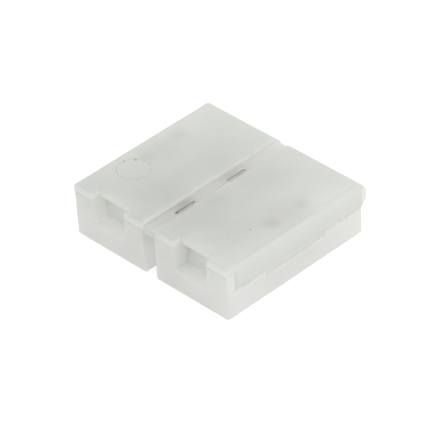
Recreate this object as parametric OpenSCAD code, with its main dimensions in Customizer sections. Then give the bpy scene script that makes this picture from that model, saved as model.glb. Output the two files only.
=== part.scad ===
// Strip-to-strip connector for 10 mm wide LED strip.
// X runs along the strip, Y across it, Z up. The origin is under the middle, on the underside.
// The base and its two covers are one moulding, which bends at a band behind each cover.
// Both covers are drawn closed, latched at the front.

/* [Base] */
// Length of the base, along the LED strip
base_l = 15.4; // [14.8:0.1:16.4]
// Width of the base, across the LED strip
base_w = 13.6; // [13.4:0.1:14.6]
// Height from the underside to the top of the closed covers
body_h = 4.35; // [4.25:0.05:4.7]
// Radius of the base's upright corners
corner_r = 0.2; // [0.1:0.05:0.4]
// Depth of the two cores in the underside
core_depth = 0.9; // [0.5:0.1:1.1]
// Wall left round each core
core_wall = 1.1; // [0.8:0.1:1.4]
// Depth of the open notch at the front and back of the middle
notch_depth = 1.3; // [1:0.05:1.4]
// Width of the pry notch in the middle of each end
pry_w = 6; // [4:0.5:8]
// Depth of the pry notch
pry_depth = 0.4; // [0.2:0.05:0.6]
// How far the pry notch reaches in from the end
pry_in = 0.2; // [0.1:0.05:0.8]

/* [LED strip] */
// Width of the LED strip that slides in
led_strip_w = 10; // [8:0.1:10.1]
// Thickness of the LED strip
led_strip_t = 0.15; // [0.15:0.05:0.3]
// Side play of the LED strip in its bed
led_strip_play = 0.2; // [0.1:0.05:0.3]
// Height of the bed that the LED strip lies on
bed_h = 2.0; // [1.9:0.05:2.1]

/* [Covers] */
// How far a cover stands back from the base's front and back
cover_inset = 0.06; // [0.05:0.01:0.12]
// Thickness of the covers
cover_t = 0.7; // [0.6:0.05:0.8]
// Radius along the outer top edges of the covers
cover_edge_r = 0.3; // [0.1:0.05:0.4]
// Radius along the inner top edges, at the groove
groove_edge_r = 0.15; // [0.05:0.05:0.2]
// Gap between a cover's inner edge and the middle strip
inner_gap = 0.03; // [0.02:0.01:0.06]
// Gap between a closed cover and the base wall under it
seat_gap = 0.02; // [0.02:0.01:0.05]
// How far the lip's face swells past the end of the base
lip_reach = 0.06; // [0.02:0.01:0.2]
// Thickness of the lip at the end of each cover
lip_t = 0.8; // [0.6:0.05:1]
// Gap between the lip and the wall beside or behind it
lip_gap = 0.15; // [0.13:0.01:0.25]
// Width of the corner post that shows beside the lip
corner_post_w = 0.8; // [0.6:0.05:1]

/* [Middle strip] */
// Width of the groove between the two covers
groove_w = 1.16; // [1.1:0.02:1.3]
// Depth of the groove, down to the middle strip
groove_d = 0.3; // [0.2:0.05:0.35]
// Thickness of the middle strip where it spans the open notches
strip_t = 0.6; // [0.5:0.05:0.7]

/* [Hinge bands] */
// How far a hinge band bulges out behind the base
band_reach = 0.5; // [0.4:0.05:0.7]
// Height of a hinge band
band_h = 1.9; // [1.8:0.05:2]
// Distance from the top of the covers down to the top of a hinge band
band_drop = 0.25; // [0.2:0.01:0.3]
// Depth of the hinge axis under the band's outer face
axis_depth = 0.16; // [0.14:0.01:0.17]
// Radius of the hinge bead on each cover
bead_r = 0.15; // [0.1:0.01:0.16]
// Gap round the hinge bead
bead_gap = 0.03; // [0.02:0.01:0.04]
// Distance from the hinge axis to the cover's back edge
axis_inset = 0.12; // [0.1:0.01:0.14]

/* [Latches] */
// Width of each latch window in the front wall
window_w = 3.25; // [3:0.05:3.6]
// Height of the sill under each window
sill_h = 1.75; // [1.6:0.05:1.9]
// How far the cover's edge at a notch stands out past the tongue's root
notch_edge = 0.66; // [0.5:0.02:0.8]
// Width of the latch tongue at its root
tongue_root_w = 3.05; // [2.6:0.05:3.1]
// Width of the latch tongue at its tip
tongue_tip_w = 2.9; // [2.4:0.1:3]
// Thickness of the latch tongue
tongue_t = 0.35; // [0.3:0.05:0.4]
// How far the tongue's shoulder slopes outward
shoulder_out = 0.35; // [0.3:0.05:0.5]
// Share of the tongue's height that lies above its shoulder
shoulder_start = 0.22; // [0.1:0.02:0.3]
// Share of the tongue's height that its shoulder takes
shoulder_drop = 0.4; // [0.3:0.02:0.5]
// Gap between the tongue and the base
tongue_gap = 0.05; // [0.04:0.01:0.1]

/* [Clamp] */
// Distance from the middle to the clamp posts under each cover
post_x = 6.2; // [5.8:0.1:6.3]
// Place of the first clamp post across the width
post_y_front = -0.75; // [-1.5:0.05:0]
// Place of the second clamp post across the width
post_y_back = 2.2; // [1.5:0.05:3]
// Radius of a clamp post
post_r = 0.45; // [0.3:0.05:0.5]
// Gap between a clamp post and the LED strip
post_gap = 0.1; // [0.05:0.05:0.2]
// Radius of the rounded nose on the press rib
press_r = 0.2; // [0.15:0.05:0.3]
// Gap between the press rib and a contact
press_gap = 0.15; // [0.12:0.01:0.2]

/* [Contacts] */
// Distance between the two contacts
contact_pitch = 4.9; // [4.4:0.1:5.4]
// Place of the pair's middle across the width
contact_mid = -0.7; // [-1:0.05:0]
// Width of a contact
contact_w = 1.6; // [1.4:0.05:1.7]
// Thickness of a contact's metal
contact_t = 0.25; // [0.2:0.01:0.25]
// Distance from the middle to where a contact touches the LED strip
touch_x = 2.8; // [2.4:0.1:3.2]
// Gap between a relaxed contact and the LED strip
touch_gap = 0.05; // [0.03:0.01:0.08]
// Length of a contact's turned-up end
curl_l = 0.6; // [0.4:0.05:0.8]
// Rise of a contact's turned-up end
curl_h = 0.27; // [0.2:0.01:0.3]
// Width of the slot that forks each contact arm
fork_w = 0.3; // [0.2:0.05:0.4]
// Thickness of the upright key that shows in the middle strip's slot
key_w = 0.12; // [0.1:0.01:0.16]
// Distance of the key and its slot from the middle
key_x = 0.11; // [0:0.01:0.2]
// Depth of the key's top under the middle strip's top
key_depth = 0.05; // [0.03:0.01:0.1]
// Gap on each side of the key in its slot
key_gap = 0.04; // [0.03:0.01:0.06]
// Length of a slot
slot_l = 1.82; // [1.8:0.02:1.9]
// How far a slot's middle lies outward of its contact's middle
slot_shift = 0.08; // [0:0.01:0.08]
// Gap round a contact in its channel
channel_gap = 0.03; // [0.02:0.01:0.05]

/* [Hidden] */
$fn = 64;
cut = 0.5; // how far a cutting shape runs past what it cuts
bond = 0.05; // how far joined features reach into each other

end_x = base_l / 2;
side_y = base_w / 2;
cover_y = side_y - cover_inset;
groove_x = groove_w / 2;
cover_x = groove_x + inner_gap;
bay_y = led_strip_w / 2 + led_strip_play;
notch_y = side_y - notch_depth;
corner_post_y = side_y - corner_post_w;
cover_z = body_h - cover_t;
wall_top = cover_z - seat_gap;
led_strip_top = bed_h + led_strip_t;
strip_top = body_h - groove_d;
bridge_top = strip_top - strip_t;
lip_z = led_strip_top;
lip_x = end_x - lip_t;
window_x = (groove_x + end_x) / 2;
tongue_y = bay_y + 2 * tongue_gap;
cover_notch_y = tongue_y + notch_edge;
tongue_tip_z = sill_h + 2 * tongue_gap;
band_r = (pow(band_h / 2, 2) + pow(band_reach, 2)) / (2 * band_reach);
band_y = side_y + band_reach - band_r;
band_z = body_h - band_drop - band_h / 2;
axis_y = cover_y + axis_inset;
axis_z = band_z + sqrt(pow(band_r - axis_depth, 2) - pow(axis_y - band_y, 2));
channel_z = bridge_top - contact_t - channel_gap;
arm_z = channel_z + contact_t / 2;
touch_z = led_strip_top + touch_gap + contact_t / 2;
arm_x = groove_x + contact_t;
slot_half_w = key_w / 2 + key_gap;
slot_ys = [
    contact_mid - contact_pitch / 2 - slot_shift,
    contact_mid + contact_pitch / 2 + slot_shift
];
contact_ys = [contact_mid - contact_pitch / 2, contact_mid + contact_pitch / 2];

// A box between two opposite corners
module block(low, high) {
    translate(low)
        cube(high - low);
}

// A flat rectangle with four rounded corners
module rounded_rect(l, w, r) {
    square([l - 2 * r, w], center = true);
    square([l, w - 2 * r], center = true);
    for (x = [-1, 1], y = [-1, 1])
        translate([x * (l / 2 - r), y * (w / 2 - r)])
            circle(r);
}

// A round-ended bar between two points of a flat drawing
module bar(p, q, t) {
    run = q - p;
    translate(p)
        rotate(atan2(run[1], run[0]))
            translate([0, -t / 2])
                square([norm(run), t]);
    for (c = [p, q])
        translate(c)
            circle(t / 2);
}

// Stands a drawing of the X-Z plane up and stretches it along Y
module along_y(y0, y1) {
    translate([0, y1, 0])
        rotate([90, 0, 0])
            linear_extrude(y1 - y0)
                children();
}

// Stands a drawing of the Y-Z plane up and stretches it along X
module along_x(x0, x1) {
    translate([x0, 0, 0])
        rotate([90, 0, 90])
            linear_extrude(x1 - x0)
                children();
}

// The right half's side walls, which stop at the middle notch
module half_walls() {
    // The front wall ends in a corner post that shows beside the lip
    block([groove_x, -side_y + corner_r, bed_h - bond], [end_x, -corner_post_y, wall_top]);
    block([groove_x, -side_y, bed_h - bond], [end_x - corner_r, -corner_post_y, wall_top]);
    translate([end_x - corner_r, -side_y + corner_r, bed_h - bond])
        cylinder(h = wall_top - bed_h + bond, r = corner_r);
    block([groove_x, -side_y + bond, bed_h - bond], [lip_x - lip_gap, -bay_y, wall_top]);
    block([groove_x, -side_y + bond, bed_h - bond], [end_x - bond, -bay_y, lip_z - seat_gap]);
    block([lip_x, -corner_post_y - bond, bed_h - bond], [end_x, -bay_y, lip_z - seat_gap]);
    // The back wall steps down under the lip
    block([groove_x, bay_y, bed_h - bond], [lip_x - lip_gap, side_y, wall_top]);
    block([groove_x, bay_y, bed_h - bond], [end_x - corner_r, side_y, lip_z - seat_gap]);
    block([groove_x, bay_y, bed_h - bond], [end_x, side_y - corner_r, lip_z - seat_gap]);
    translate([end_x - corner_r, side_y - corner_r, bed_h - bond])
        cylinder(h = lip_z - seat_gap - bed_h + bond, r = corner_r);
}

// The folded band behind the right cover, which starts low on the back wall and ends at the cover
module hinge_band() {
    difference() {
        translate([cover_x, band_y, band_z])
            rotate([0, 90, 0])
                cylinder(h = end_x - cover_x, r = band_r, $fn = 128);
        block(
            [cover_x - cut, band_y - band_r - cut, band_z - band_r - cut],
            [end_x + cut, side_y - bond, band_z + band_r + cut]
        );
        // The part above the wall's step lies wholly behind the back wall's face
        block(
            [cover_x - cut, side_y - 2 * bond, lip_z - seat_gap],
            [end_x + cut, side_y, band_z + band_r + cut]
        );
        // The band ends at the seat for the cover's hinge bead
        translate([cover_x - cut, axis_y, axis_z])
            rotate([90 + atan2(axis_z - band_z, axis_y - band_y), 0, 0])
                translate([0, 0, -band_r])
                    cube([end_x - cover_x + 2 * cut, 2 * band_r, 2 * band_r]);
        translate([cover_x - cut, axis_y, axis_z])
            rotate([0, 90, 0])
                cylinder(h = end_x - cover_x + 2 * cut, r = bead_r + bead_gap);
    }
}

module base() {
    color([0.90, 0.92, 0.89])
        difference() {
            union() {
                linear_extrude(bed_h)
                    rounded_rect(base_l, base_w, corner_r);
                // The bridge between the two beds, and the strip that tops it and spans the notches
                block([-groove_x, -notch_y, bed_h - bond], [groove_x, notch_y, strip_top]);
                block([-groove_x, -cover_y, bridge_top], [groove_x, cover_y, strip_top]);
                half_walls();
                hinge_band();
                mirror([1, 0, 0]) {
                    half_walls();
                    hinge_band();
                }
            }
            // The open notch at the front and back of the middle, under the strip
            for (s = [-1, 1])
                translate([0, s * (side_y + notch_y + cut) / 2, bridge_top / 2 - cut / 2])
                    cube([groove_w, side_y - notch_y + cut, bridge_top + cut], center = true);
            // Latch windows in the front wall
            for (x = [-window_x, window_x])
                translate([x, -(side_y + bay_y + cut) / 2, (sill_h + body_h) / 2])
                    cube([window_w, side_y - bay_y + cut, body_h - sill_h], center = true);
            // Cores in the underside
            for (s = [-1, 1])
                translate([s * window_x, 0, core_depth / 2 - cut / 2])
                    cube([
                        end_x - groove_x - 2 * core_wall,
                        2 * (bay_y - core_wall / 2),
                        core_depth + cut
                    ], center = true);
            // Pry notches in the two ends
            for (s = [-1, 1])
                translate([s * (end_x - pry_in / 2 + cut / 2), 0, bed_h - pry_depth / 2 + cut / 2])
                    cube([pry_in + cut, pry_w, pry_depth + cut], center = true);
            // Channels for the contacts, right through the bridge
            for (y = contact_ys)
                translate([0, y, (channel_z + bridge_top) / 2])
                    cube([
                        groove_w + cut,
                        contact_w + 2 * channel_gap,
                        bridge_top - channel_z
                    ], center = true);
            // Slots in the strip's top, where the contacts' keys show
            for (y = slot_ys)
                block(
                    [key_x - slot_half_w, y - slot_l / 2, channel_z],
                    [key_x + slot_half_w, y + slot_l / 2, strip_top + cut]
                );
        }
}

// Drawing of the cover's section along the LED strip: a plate with a lip, and three round edges
module cover_outline() {
    translate([cover_x, cover_z])
        square([end_x - cover_edge_r - cover_x, cover_t - groove_edge_r]);
    translate([cover_x + groove_edge_r, cover_z])
        square([end_x - cover_edge_r - cover_x - groove_edge_r, cover_t]);
    translate([cover_x + groove_edge_r, body_h - groove_edge_r])
        circle(groove_edge_r);
    translate([end_x - cover_edge_r - cover_t, cover_z])
        square([cover_t + cover_edge_r, cover_t - cover_edge_r]);
    translate([end_x - cover_edge_r, body_h - cover_edge_r])
        circle(cover_edge_r);
}

// Drawing of the lip that hangs down over the end of the base, with a slightly swollen face
module lip_outline() {
    half_h = (body_h - cover_edge_r - lip_z) / 2;
    swell_r = (pow(half_h, 2) + pow(lip_reach, 2)) / (2 * lip_reach);
    translate([lip_x, lip_z])
        square([lip_t, cover_z - lip_z + bond]);
    intersection() {
        translate([end_x + lip_reach - swell_r, lip_z + half_h])
            circle(swell_r, $fn = 256);
        translate([lip_x, lip_z])
            square([lip_t + lip_reach + cut, 2 * half_h]);
    }
}

// Drawing of the cover's section across the LED strip, with its two round top edges
module cover_section() {
    translate([-cover_y, 0])
        square([2 * cover_y, body_h - cover_edge_r]);
    translate([-cover_y + cover_edge_r, 0])
        square([2 * (cover_y - cover_edge_r), body_h]);
    for (s = [-1, 1])
        translate([s * (cover_y - cover_edge_r), body_h - cover_edge_r])
            circle(cover_edge_r);
}

// Drawing of the latch tongue, seen along the LED strip
module tongue_section() {
    tongue_h = cover_z - tongue_tip_z;
    shoulder_top = cover_z - shoulder_start * tongue_h;
    shoulder_low = shoulder_top - shoulder_drop * tongue_h;
    tip_y = tongue_y + shoulder_out;
    polygon([
        [tongue_y - tongue_t, cover_z + bond],
        [tongue_y - tongue_t, shoulder_top],
        [tip_y - tongue_t, shoulder_low],
        [tip_y - tongue_t, tongue_tip_z],
        [tip_y - tongue_t / 2, tongue_tip_z],
        [tip_y, tongue_tip_z + tongue_t / 2],
        [tip_y, shoulder_low],
        [tongue_y, shoulder_top],
        [tongue_y, cover_z + bond],
    ]);
}

// Drawing of the latch tongue, seen from the side, where it narrows towards its tip
module tongue_front() {
    polygon([
        [-tongue_root_w / 2, cover_z + bond],
        [tongue_root_w / 2, cover_z + bond],
        [tongue_tip_w / 2, tongue_tip_z],
        [-tongue_tip_w / 2, tongue_tip_z],
    ]);
}

module tongue() {
    intersection() {
        along_x(-window_w / 2, window_w / 2)
            tongue_section();
        along_y(0, side_y)
            tongue_front();
    }
}

// The right cover, closed
module lid() {
    press_z = touch_z + contact_t / 2 + press_gap + press_r;
    difference() {
        intersection() {
            union() {
                along_y(-side_y, side_y)
                    cover_outline();
                along_y(-corner_post_y + lip_gap, side_y)
                    lip_outline();
            }
            along_x(0, base_l)
                cover_section();
        }
        // Notch over the latch window
        translate([window_x, -(side_y + cover_notch_y + cut) / 2, body_h])
            cube([window_w, side_y - cover_notch_y + cut, 2 * cover_t + cut], center = true);
    }
    // Latch tongue at the front
    translate([window_x, 0, 0])
        mirror([0, 1, 0])
            tongue();
    // Press rib over the contacts
    along_y(-bay_y + 2 * lip_gap, bay_y - 2 * lip_gap) {
        translate([touch_x - press_r, press_z])
            square([2 * press_r, cover_z - press_z + bond]);
        translate([touch_x, press_z])
            circle(press_r);
    }
    // Clamp posts near the lip
    for (y = [post_y_front, post_y_back])
        translate([post_x, y, led_strip_top + post_gap])
            cylinder(h = cover_z - led_strip_top - post_gap + bond, r = post_r);
    // Hinge bead and the web that carries it
    translate([cover_x, axis_y, axis_z])
        rotate([0, 90, 0])
            cylinder(h = end_x - cover_x, r = bead_r);
    block([cover_x, cover_y - bond, axis_z - bead_r], [end_x, axis_y, axis_z + bead_r * 2 / 3]);
}

module lid_right() {
    color([0.86, 0.88, 0.85])
        lid();
}

module lid_left() {
    color([0.86, 0.88, 0.85])
        mirror([1, 0, 0])
            lid();
}

// Drawing of one contact arm, from the bridge down to the LED strip and up at its end
module arm_outline() {
    bar([0, arm_z], [arm_x, arm_z], contact_t);
    bar([arm_x, arm_z], [touch_x, touch_z], contact_t);
    bar([touch_x, touch_z], [touch_x + curl_l, touch_z + curl_h], contact_t);
}

// A spring contact: a web through the bridge, an upright key and a forked arm each way
module contact() {
    color([0.70, 0.66, 0.58])
        difference() {
            along_y(-contact_w / 2, contact_w / 2) {
                arm_outline();
                mirror([1, 0])
                    arm_outline();
                translate([key_x - key_w / 2, arm_z])
                    square([key_w, strip_top - key_depth - arm_z]);
            }
            // The slots that fork the two arms
            for (s = [0, 1])
                mirror([s, 0, 0])
                    block(
                        [arm_x + contact_t, -fork_w / 2, bed_h],
                        [touch_x + curl_l + contact_t, fork_w / 2, bridge_top]
                    );
        }
}

module contact_front() {
    translate([0, contact_ys[0], 0])
        contact();
}

module contact_back() {
    translate([0, contact_ys[1], 0])
        contact();
}

base();
lid_left();
lid_right();
contact_front();
contact_back();
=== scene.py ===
"""Dresses the strip connector: milky moulded plastic, tinned contacts, white studio."""
import math

import bpy
from mathutils import Matrix, Vector


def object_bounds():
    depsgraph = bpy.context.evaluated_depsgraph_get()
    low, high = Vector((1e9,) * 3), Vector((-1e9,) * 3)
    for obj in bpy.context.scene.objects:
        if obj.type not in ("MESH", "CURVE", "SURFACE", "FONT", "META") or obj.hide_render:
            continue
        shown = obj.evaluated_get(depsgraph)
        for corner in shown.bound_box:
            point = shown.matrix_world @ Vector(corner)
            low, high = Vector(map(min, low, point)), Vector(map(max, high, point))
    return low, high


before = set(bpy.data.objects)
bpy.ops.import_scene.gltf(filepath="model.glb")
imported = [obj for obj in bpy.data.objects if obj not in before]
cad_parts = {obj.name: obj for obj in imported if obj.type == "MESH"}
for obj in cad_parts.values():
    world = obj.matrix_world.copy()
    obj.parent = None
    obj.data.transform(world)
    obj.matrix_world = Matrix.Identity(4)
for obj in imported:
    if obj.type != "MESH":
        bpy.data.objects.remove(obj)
cad_low, cad_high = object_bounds()

MM = 0.001
WHITE = (1, 1, 1, 1)

# Camera, from the outline of the object in the photograph
PHOTO_W = 438
CAMERA_AZIMUTH = 47.5
CAMERA_ELEVATION = 37.1
CAMERA_ROLL = -3.85
CAMERA_FOV = 8.0
CAMERA_DISTANCE = 225.0 * MM
CAMERA_CLIP = (0.01, 5)
OBJECT_RIGHT_PX = 0.8
OBJECT_DOWN_PX = 12.1

# Studio. Each lamp has its azimuth, elevation, distance, size and power.
SKY_LIGHT = 0.62
SKY_SEEN = 1.0
FLOOR_SIZE = 0.6
FLOOR_DROP = 0.02 * MM
FLOOR_COLOUR = (0.95, 0.95, 0.95, 1)
FLOOR_LIFT = 0.42
LAMPS = {
    "key": (104, 15, 0.25, 0.16, 0.165),
    "fill": (-16, 19, 0.28, 0.18, 0.1),
    "back": (222, 42, 0.28, 0.18, 0.1),
}

# Colours, as linear values
BASE_MILKY = (0.955, 0.96, 0.942, 1)
BASE_CLOUD = (0.943, 0.948, 0.929, 1)
LID_MILKY = (0.934, 0.944, 0.917, 1)
LID_CLOUD = (0.92, 0.932, 0.903, 1)
# Painted light: a paler tone for the base's low parts, ends, middle strip and front beside the
# notch, and for the lids' inner edges
PAINTED_LIGHT_MILKY = (0.985, 0.985, 0.975, 1)
# Painted shade, and the colour of the plastic's dark specks
PAINTED_SHADE_AND_SPECK_COLOUR = (0.47, 0.49, 0.44, 1)
# Moulding marks on the lids, and painted shade at the slot ends on the base
MARK_AND_PAINTED_SHADE_COLOUR = (0.22, 0.22, 0.19, 1)
# Painted shade where the contacts show through the plastic
SEEN_METAL = (0.36, 0.35, 0.30, 1)
# Painted shade in the slots
SLOT_PAINTED_SHADE = (0.45, 0.45, 0.41, 1)
TIN = (0.8, 0.78, 0.74, 1)
TIN_DARK = (0.6, 0.57, 0.52, 1)
# Painted shade on the contacts' keys in the slots
TIN_PAINTED_SHADE_IN_SLOT = (0.3, 0.29, 0.26, 1)

# Share of the light that goes on through a face of the plastic
LET_THROUGH = 0.52
STRIP_LET_THROUGH = 0.46

# Noise: cells per millimetre, detail and roughness
CLOUD_NOISE = (0.35, 4.0, 0.55)
SPECK_NOISE = (5.0, 1.0, 0.5)
RING_NOISE = (2.6, 2.0, 0.5)
GRAIN_NOISE = (22.0, 2.0, 0.5)
FLOW_NOISE = (1.6, 2.0, 0.5)
LINE_NOISE = (1.5, 4.0, 0.5)
TARNISH_NOISE = (1.1, 3.0, 0.5)

# What the noise is turned into: two of its values, and the results there
CLOUD_RANGE = (0.35, 0.7, 0.0, 1.0)
SPECK_RANGE = (0.73, 0.77, 0.0, 0.1)
RING_RANGE = (0.38, 0.62, 0.25, 1.0)
TARNISH_RANGE = (0.4, 0.65, 0.0, 1.0)
PLASTIC_ROUGHNESS = (0.3, 0.7, 0.34, 0.46)
METAL_ROUGHNESS = (0.3, 0.7, 0.32, 0.5)

# Relief: how much more the flow counts than the grain, and how far the metal's lines are squeezed
FLOW_SHARE = 2.5
LINE_SQUEEZE = (1, 14, 1)


def rises(axis, start, end):
    """A bound that comes in between two places along an axis, in millimetres."""
    return axis, start, end, 0.0, 1.0


def falls(axis, start, end):
    """A bound that goes out between two places along an axis, in millimetres."""
    return axis, start, end, 1.0, 0.0


def between(axis, low, high, soft=0.02):
    """The two bounds of a stretch along an axis."""
    return rises(axis, low - soft, low), falls(axis, high, high + soft)


def near_level(level):
    """A bound that holds only just under a level and above it."""
    return rises("z", level - 0.2, level - 0.05)


# The axes are x, y, z and aside, which is the distance from the middle to either side.
TOP = cad_high[2] / MM
STRIP_TOP = TOP - 0.3
ON_STRIP = falls("aside", 0.57, 0.6)
ON_FRONT = falls("y", -6.78, -6.7)
SLOT_ACROSS = between("x", 0.0, 0.22)
SLOT_DEEP = (rises("z", 2.0, 2.4), falls("z", STRIP_TOP - 0.06, STRIP_TOP - 0.02))
PAINTED_LIGHT_SHARE = 0.9

# Painted light and shade: a colour and its areas, each with its share and its bounds
BASE_PAINTED_LIGHT_AND_SHADE = [
    (PAINTED_LIGHT_MILKY, [
        # Painted light low down, for light from the floor
        (PAINTED_LIGHT_SHARE, [falls("z", 0.0, 2.4)]),
        # Painted light on the middle strip, towards the back
        (PAINTED_LIGHT_SHARE, [ON_STRIP, rises("y", -4.5, 2.0)]),
        # Painted light on the front, beside the notch
        (PAINTED_LIGHT_SHARE, [ON_FRONT, falls("aside", 1.4, 3.4)]),
        # Painted light on the two ends
        (PAINTED_LIGHT_SHARE, [rises("aside", 7.6, 7.68)]),
    ]),
    (PAINTED_SHADE_AND_SPECK_COLOUR, [
        # Painted shade on the front, away from the notch
        (0.07, [ON_FRONT, rises("aside", 3.4, 6.4)]),
        # Painted shade round the front corners
        (0.1, [falls("y", -6.6, -5.4), rises("aside", 7.3, 7.5)]),
    ]),
    (PAINTED_SHADE_AND_SPECK_COLOUR, [
        # Painted shade on the front end of the middle strip
        (0.15, [ON_STRIP, falls("y", -6.2, -2.8), rises("z", 0.8, 3.4)]),
    ]),
    (SLOT_PAINTED_SHADE, [
        # Painted shade in the front slot and in the back one
        (1.0, [*SLOT_ACROSS, *between("y", -4.15, -2.31), *SLOT_DEEP]),
        (0.7, [*SLOT_ACROSS, *between("y", 0.91, 2.75), *SLOT_DEEP]),
    ]),
]
LID_PAINTED_SHADE_UNDER_MARKS = [
    # Painted shade on the top, towards the front
    (PAINTED_SHADE_AND_SPECK_COLOUR, [(0.13, [falls("y", -6.8, 2.0), near_level(TOP)])]),
]
LID_PAINTED_LIGHT_AND_SHADE = [
    # Painted light at the inner edge, and painted shade on the lip's outer face
    (PAINTED_LIGHT_MILKY, [(0.55, [falls("aside", 0.66, 0.8)])]),
    (PAINTED_SHADE_AND_SPECK_COLOUR, [(0.05, [rises("aside", 7.55, 7.68)])]),
]
METAL_PAINTED_SHADE = [
    # Painted shade on the keys that show in the slots
    (TIN_PAINTED_SHADE_IN_SLOT, [(1.0, [rises("z", 3.2, 3.6)])]),
]

# Marks and painted shade on the top. Painted shade spots and dots: x, y, radius and strength.
# Rings: x, y, radius, width and strength.
BASE_MARKS = {
    # Painted shade where the contacts show through the plastic
    "painted_shade_spots": [
        (-0.22, -3.25, 0.55, 0.15), (-0.25, -2.8, 0.6, 0.2),
        (0.05, -3.7, 0.4, 0.15), (0.05, -2.6, 0.4, 0.1),
    ],
    # Painted shade at the ends of the slots
    "dots": [
        (0.11, -4.14, 0.15, 0.8), (0.11, -2.32, 0.12, 0.2),
        (0.11, 2.74, 0.14, 0.6), (0.11, 0.92, 0.12, 0.15),
    ],
}
LID_LEFT_MARKS = {
    # Painted shade on the top
    "painted_shade_spots": [
        (-6.0, -1.1, 1.0, 0.12), (-6.3, 2.2, 1.1, 0.12), (-6.0, 0.2, 2.4, 0.12),
        (-1.2, -6.4, 1.6, 0.1), (-6.2, -6.5, 1.8, 0.08),
    ],
    "dots": [(-6.85, -2.57, 0.12, 0.4), (-6.35, -1.9, 0.13, 0.6)],
    "rings": [(-5.64, -2.78, 1.24, 0.08, 0.24)],
}
LID_RIGHT_MARKS = {
    # Painted shade on the top
    "painted_shade_spots": [
        (6.3, -0.8, 1.0, 0.15), (6.4, 2.2, 1.0, 0.13), (1.5, -1.4, 1.2, 0.1),
        (6.8, -1.5, 4.5, 0.1), (6.8, 0.8, 2.8, 0.14), (2.2, -6.2, 1.9, 0.1),
    ],
    "dots": [(5.69, -2.33, 0.1, 0.55)],
    "rings": [(5.7, -2.75, 1.33, 0.07, 0.08)],
}
# Where a painted shade spot or a dot starts to fade, as a share of its radius
PAINTED_SHADE_SPOT_CORE = 0.0
DOT_CORE = 1 / 3


def direction(azimuth, elevation):
    """The unit vector from the object towards a place seen at two angles, in radians."""
    return Vector((
        math.sin(azimuth) * math.cos(elevation),
        -math.cos(azimuth) * math.cos(elevation),
        math.sin(elevation),
    ))


def aim_camera():
    """Puts the camera where the photograph was taken from."""
    azimuth = math.radians(CAMERA_AZIMUTH)
    roll = math.radians(CAMERA_ROLL)
    back = direction(azimuth, math.radians(CAMERA_ELEVATION))
    level = Vector((math.cos(azimuth), math.sin(azimuth), 0))
    rise = back.cross(level)
    right = math.cos(roll) * level + math.sin(roll) * rise
    up = math.cos(roll) * rise - math.sin(roll) * level
    focal_px = PHOTO_W / 2 / math.tan(math.radians(CAMERA_FOV) / 2)
    metres_per_px = CAMERA_DISTANCE / focal_px
    place = back * CAMERA_DISTANCE
    place += (up * OBJECT_DOWN_PX - right * OBJECT_RIGHT_PX) * metres_per_px
    data = bpy.data.cameras.new("camera")
    data.sensor_fit = "HORIZONTAL"
    data.angle = math.radians(CAMERA_FOV)
    data.clip_start, data.clip_end = CAMERA_CLIP
    camera = bpy.data.objects.new("camera", data)
    turn = Matrix((right, up, back)).transposed().to_4x4()
    camera.matrix_world = Matrix.Translation(place) @ turn
    bpy.context.scene.collection.objects.link(camera)
    bpy.context.scene.camera = camera


def add_node(tree, kind, **settings):
    """Adds a node and sets its properties."""
    made = tree.nodes.new(kind)
    for name, value in settings.items():
        setattr(made, name, value)
    return made


def feed(tree, socket, value):
    """Links a socket to an input, or sets the input to a plain value."""
    if isinstance(value, bpy.types.NodeSocket):
        tree.links.new(value, socket)
    else:
        socket.default_value = value


def set_inputs(tree, made, **values):
    """Links or sets inputs, named with underscores for spaces."""
    for name, value in values.items():
        feed(tree, made.inputs[name.replace("_", " ")], value)


def number_math(tree, operation, a, b=0.0):
    """Joins two numbers or sockets with one math node."""
    made = add_node(tree, "ShaderNodeMath", operation=operation)
    feed(tree, made.inputs[0], a)
    feed(tree, made.inputs[1], b)
    return made.outputs[0]


def vector_math(tree, operation, a, b):
    """Joins two vectors with one math node."""
    made = add_node(tree, "ShaderNodeVectorMath", operation=operation)
    feed(tree, made.inputs[0], a)
    feed(tree, made.inputs[1], b)
    return made.outputs["Vector"]


def fade(tree, value, start, end, at_start, at_end):
    """Runs smoothly from one result to another as its input goes from start to end."""
    made = add_node(tree, "ShaderNodeMapRange", interpolation_type="SMOOTHSTEP")
    set_inputs(
        tree, made,
        Value=value, From_Min=start, From_Max=end, To_Min=at_start, To_Max=at_end,
    )
    return made.outputs[0]


def mix_colour(tree, factor, a, b):
    """Mixes two colours or colour sockets."""
    made = add_node(tree, "ShaderNodeMix", data_type="RGBA")
    # A mix node has a set of inputs for each type, and those of colours are 6 and 7
    for index, value in ((0, factor), (6, a), (7, b)):
        feed(tree, made.inputs[index], value)
    return made.outputs[2]


def noise(tree, place, scale, detail, roughness):
    """Gives noise whose scale is in cells per millimetre."""
    made = add_node(tree, "ShaderNodeTexNoise")
    set_inputs(tree, made, Vector=place, Scale=scale, Detail=detail, Roughness=roughness)
    return made.outputs["Fac"]


def distance_from(tree, place, x, y):
    """Gives the distance across the top face from one point."""
    offset = vector_math(tree, "SUBTRACT", place, (x, y, 0))
    flat = vector_math(tree, "MULTIPLY", offset, (1, 1, 0))
    length = add_node(tree, "ShaderNodeVectorMath", operation="LENGTH")
    feed(tree, length.inputs[0], flat)
    return length.outputs["Value"]


def start_material(name):
    """Makes a material, and gives the point's place in the object's own frame, in millimetres."""
    material = bpy.data.materials.new(name)
    material.use_nodes = True
    tree = material.node_tree
    coordinates = add_node(tree, "ShaderNodeTexCoord")
    scaled = add_node(tree, "ShaderNodeVectorMath", operation="SCALE")
    feed(tree, scaled.inputs[0], coordinates.outputs["Object"])
    scaled.inputs["Scale"].default_value = 1 / MM
    place = scaled.outputs[0]
    parts = add_node(tree, "ShaderNodeSeparateXYZ")
    feed(tree, parts.inputs[0], place)
    axes = {"x": parts.outputs["X"], "y": parts.outputs["Y"], "z": parts.outputs["Z"]}
    return material, place, axes


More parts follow.
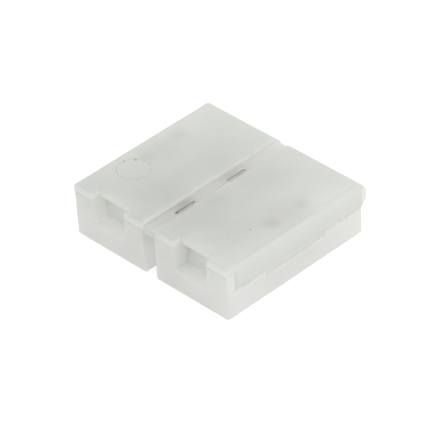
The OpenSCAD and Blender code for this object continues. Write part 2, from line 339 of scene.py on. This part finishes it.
def area(tree, axes, share, bounds):
    """Gives a share inside some bounds, and less towards 0 beyond them."""
    for axis, *ramp in bounds:
        share = number_math(tree, "MULTIPLY", fade(tree, axes[axis], *ramp), share)
    return share


def paint_light_and_shade(tree, axes, colour, painted_areas):
    """Mixes painted light and shade, each given as a colour, into a colour where its areas lie.
    """
    for painted_colour, areas in painted_areas:
        total = 0.0
        for share, bounds in areas:
            total = number_math(tree, "MAXIMUM", area(tree, axes, share, bounds), total)
        colour = mix_colour(tree, total, colour, painted_colour)
    return colour


def spots(tree, place, circles, core):
    """Adds up round spots, each full in its core and faded out at its radius."""
    total = 0.0
    for x, y, radius, strength in circles:
        away = distance_from(tree, place, x, y)
        spot = fade(tree, away, core * radius, radius, strength, 0.0)
        total = number_math(tree, "ADD", spot, total)
    return total


def thin_rings(tree, place, circles):
    """Adds up thin rings with faint stretches."""
    total = 0.0
    for x, y, radius, width, strength in circles:
        away = distance_from(tree, place, x, y)
        off_line = number_math(tree, "ABSOLUTE", number_math(tree, "SUBTRACT", away, radius))
        line = fade(tree, off_line, 0.0, width, strength, 0.0)
        broken = fade(tree, noise(tree, place, *RING_NOISE), *RING_RANGE)
        line = number_math(tree, "MULTIPLY", line, broken)
        total = number_math(tree, "ADD", line, total)
    return total


def plastic(name, milky, cloud, level, marks, painted_areas,
            painted_shade_under_marks=(), painted_shade_spot_colour=PAINTED_SHADE_AND_SPECK_COLOUR, level_share=LET_THROUGH):
    """Milky satin plastic with clouding, fine grain, specks, and marks and painted shade on its
    face at one level, with painted light and shade in set areas.
    """
    material, place, axes = start_material(name)
    tree = material.node_tree
    axes["aside"] = number_math(tree, "ABSOLUTE", axes["x"])

    clouds = fade(tree, noise(tree, place, *CLOUD_NOISE), *CLOUD_RANGE)
    colour = mix_colour(tree, clouds, milky, cloud)
    # Painted shade that goes under the marks
    colour = paint_light_and_shade(tree, axes, colour, painted_shade_under_marks)

    on_level = area(tree, axes, 1.0, [near_level(level)])
    # Painted shade spots on the face at the level
    painted_shade_spot = spots(tree, place, marks["painted_shade_spots"], PAINTED_SHADE_SPOT_CORE)
    painted_shade_spot = number_math(tree, "MULTIPLY", painted_shade_spot, on_level)
    colour = mix_colour(tree, painted_shade_spot, colour, painted_shade_spot_colour)
    # Marks, and on the base painted shade at the slot ends
    mark_and_painted_shade = number_math(
        tree, "ADD",
        spots(tree, place, marks["dots"], DOT_CORE),
        thin_rings(tree, place, marks.get("rings", ())),
    )
    mark_and_painted_shade = number_math(tree, "MULTIPLY", mark_and_painted_shade, on_level)
    colour = mix_colour(tree, mark_and_painted_shade, colour, MARK_AND_PAINTED_SHADE_COLOUR)

    # Painted light and shade in set areas
    colour = paint_light_and_shade(tree, axes, colour, painted_areas)
    specks = fade(tree, noise(tree, place, *SPECK_NOISE), *SPECK_RANGE)
    colour = mix_colour(tree, specks, colour, PAINTED_SHADE_AND_SPECK_COLOUR)

    flow = noise(tree, place, *FLOW_NOISE)
    relief = number_math(
        tree, "ADD",
        noise(tree, place, *GRAIN_NOISE), number_math(tree, "MULTIPLY", flow, FLOW_SHARE),
    )
    rounded = add_node(tree, "ShaderNodeBevel", samples=4)
    set_inputs(tree, rounded, Radius=0.05 * MM)
    bump = add_node(tree, "ShaderNodeBump")
    set_inputs(
        tree, bump,
        Strength=0.12, Distance=0.012 * MM, Height=relief, Normal=rounded.outputs[0],
    )

    shader = tree.nodes["Principled BSDF"]
    set_inputs(
        tree, shader,
        Base_Color=colour,
        Roughness=fade(tree, flow, *PLASTIC_ROUGHNESS),
        Normal=bump.outputs[0],
        IOR=1.49,
        Specular_IOR_Level=0.35,
        Subsurface_Weight=0.35,
        Subsurface_Radius=(1.0, 1.0, 0.92),
        Subsurface_Scale=0.6 * MM,
    )
    through = add_node(tree, "ShaderNodeBsdfTranslucent")
    set_inputs(tree, through, Color=colour, Normal=bump.outputs[0])
    share = LET_THROUGH
    if level_share != LET_THROUGH:
        share = fade(tree, axes["z"], level - 0.04, level - 0.01, LET_THROUGH, level_share)
    both = add_node(tree, "ShaderNodeMixShader")
    set_inputs(tree, both, Fac=share)
    feed(tree, both.inputs[1], shader.outputs[0])
    feed(tree, both.inputs[2], through.outputs[0])
    set_inputs(tree, tree.nodes["Material Output"], Surface=both.outputs[0])
    return material


def tinned_metal():
    """Dull tinned spring metal with fine rolling lines, darker tarnish, and painted shade on the
    keys in the slots.
    """
    material, place, axes = start_material("tinned_metal")
    tree = material.node_tree
    tarnish = fade(tree, noise(tree, place, *TARNISH_NOISE), *TARNISH_RANGE)
    colour = mix_colour(tree, tarnish, TIN, TIN_DARK)
    # Painted shade on the keys that show in the slots
    colour = paint_light_and_shade(tree, axes, colour, METAL_PAINTED_SHADE)
    squeezed = vector_math(tree, "MULTIPLY", place, LINE_SQUEEZE)
    lines = noise(tree, squeezed, *LINE_NOISE)
    bump = add_node(tree, "ShaderNodeBump")
    set_inputs(tree, bump, Strength=0.2, Distance=0.01 * MM, Height=lines)
    set_inputs(
        tree, tree.nodes["Principled BSDF"],
        Base_Color=colour,
        Roughness=fade(tree, lines, *METAL_ROUGHNESS),
        Normal=bump.outputs[0],
        Metallic=1.0,
    )
    return material


def dress(node, material):
    """Puts one material in every slot of a CAD node."""
    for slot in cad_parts[node].material_slots:
        slot.material = material


def seen_directly(tree):
    """Gives 1 where a ray from the camera, a mirror or a clear body arrives, else 0."""
    path = add_node(tree, "ShaderNodeLightPath")
    seen = 0.0
    for ray in ("Is Camera Ray", "Is Glossy Ray", "Is Transmission Ray"):
        seen = number_math(tree, "MAXIMUM", path.outputs[ray], seen)
    return seen


def floor_white():
    """White paper, with plain light of its own where it is seen, so that shadows stay faint."""
    material = bpy.data.materials.new("floor_white")
    material.use_nodes = True
    tree = material.node_tree
    tree.nodes.remove(tree.nodes["Principled BSDF"])
    paper = add_node(tree, "ShaderNodeBsdfDiffuse")
    set_inputs(tree, paper, Color=FLOOR_COLOUR)
    glow = add_node(tree, "ShaderNodeEmission")
    lift = number_math(tree, "MULTIPLY", seen_directly(tree), FLOOR_LIFT)
    set_inputs(tree, glow, Color=WHITE, Strength=lift)
    both = add_node(tree, "ShaderNodeAddShader")
    feed(tree, both.inputs[0], paper.outputs[0])
    feed(tree, both.inputs[1], glow.outputs[0])
    set_inputs(tree, tree.nodes["Material Output"], Surface=both.outputs[0])
    return material


def build_stage():
    """A white floor that keeps the object's faint shadow, and a white sky."""
    half = FLOOR_SIZE / 2
    low = cad_low[2] - FLOOR_DROP
    mesh = bpy.data.meshes.new("floor")
    corners = [(-half, -half, low), (half, -half, low), (half, half, low), (-half, half, low)]
    mesh.from_pydata(corners, [], [(0, 1, 2, 3)])
    mesh.materials.append(floor_white())
    floor = bpy.data.objects.new("floor", mesh)
    bpy.context.scene.collection.objects.link(floor)

    world = bpy.data.worlds.new("studio")
    bpy.context.scene.world = world
    world.use_nodes = True
    sky = world.node_tree
    strength = add_node(sky, "ShaderNodeMapRange")
    set_inputs(sky, strength, Value=seen_directly(sky), To_Min=SKY_LIGHT, To_Max=SKY_SEEN)
    set_inputs(sky, sky.nodes["Background"], Color=WHITE, Strength=strength.outputs[0])


def softbox(name, azimuth, elevation, distance, size, power):
    """An area lamp that faces the object."""
    back = direction(math.radians(azimuth), math.radians(elevation))
    data = bpy.data.lights.new(name, "AREA")
    data.shape = "SQUARE"
    data.size = size
    data.energy = power
    lamp = bpy.data.objects.new(name, data)
    lamp.location = back * distance
    lamp.rotation_euler = back.to_track_quat("Z", "Y").to_euler()
    bpy.context.scene.collection.objects.link(lamp)


bpy.context.scene.view_settings.view_transform = "Standard"
aim_camera()
build_stage()
for lamp_name, lamp_settings in LAMPS.items():
    softbox(lamp_name, *lamp_settings)

dress("base", plastic(
    "plastic_base", BASE_MILKY, BASE_CLOUD, STRIP_TOP, BASE_MARKS, BASE_PAINTED_LIGHT_AND_SHADE,
    painted_shade_spot_colour=SEEN_METAL, level_share=STRIP_LET_THROUGH,
))
dress("lid_left", plastic(
    "plastic_lid_left", LID_MILKY, LID_CLOUD, TOP, LID_LEFT_MARKS, LID_PAINTED_LIGHT_AND_SHADE,
    painted_shade_under_marks=LID_PAINTED_SHADE_UNDER_MARKS,
))
dress("lid_right", plastic(
    "plastic_lid_right", LID_MILKY, LID_CLOUD, TOP, LID_RIGHT_MARKS, LID_PAINTED_LIGHT_AND_SHADE,
    painted_shade_under_marks=LID_PAINTED_SHADE_UNDER_MARKS,
))
metal = tinned_metal()
dress("contact_front", metal)
dress("contact_back", metal)
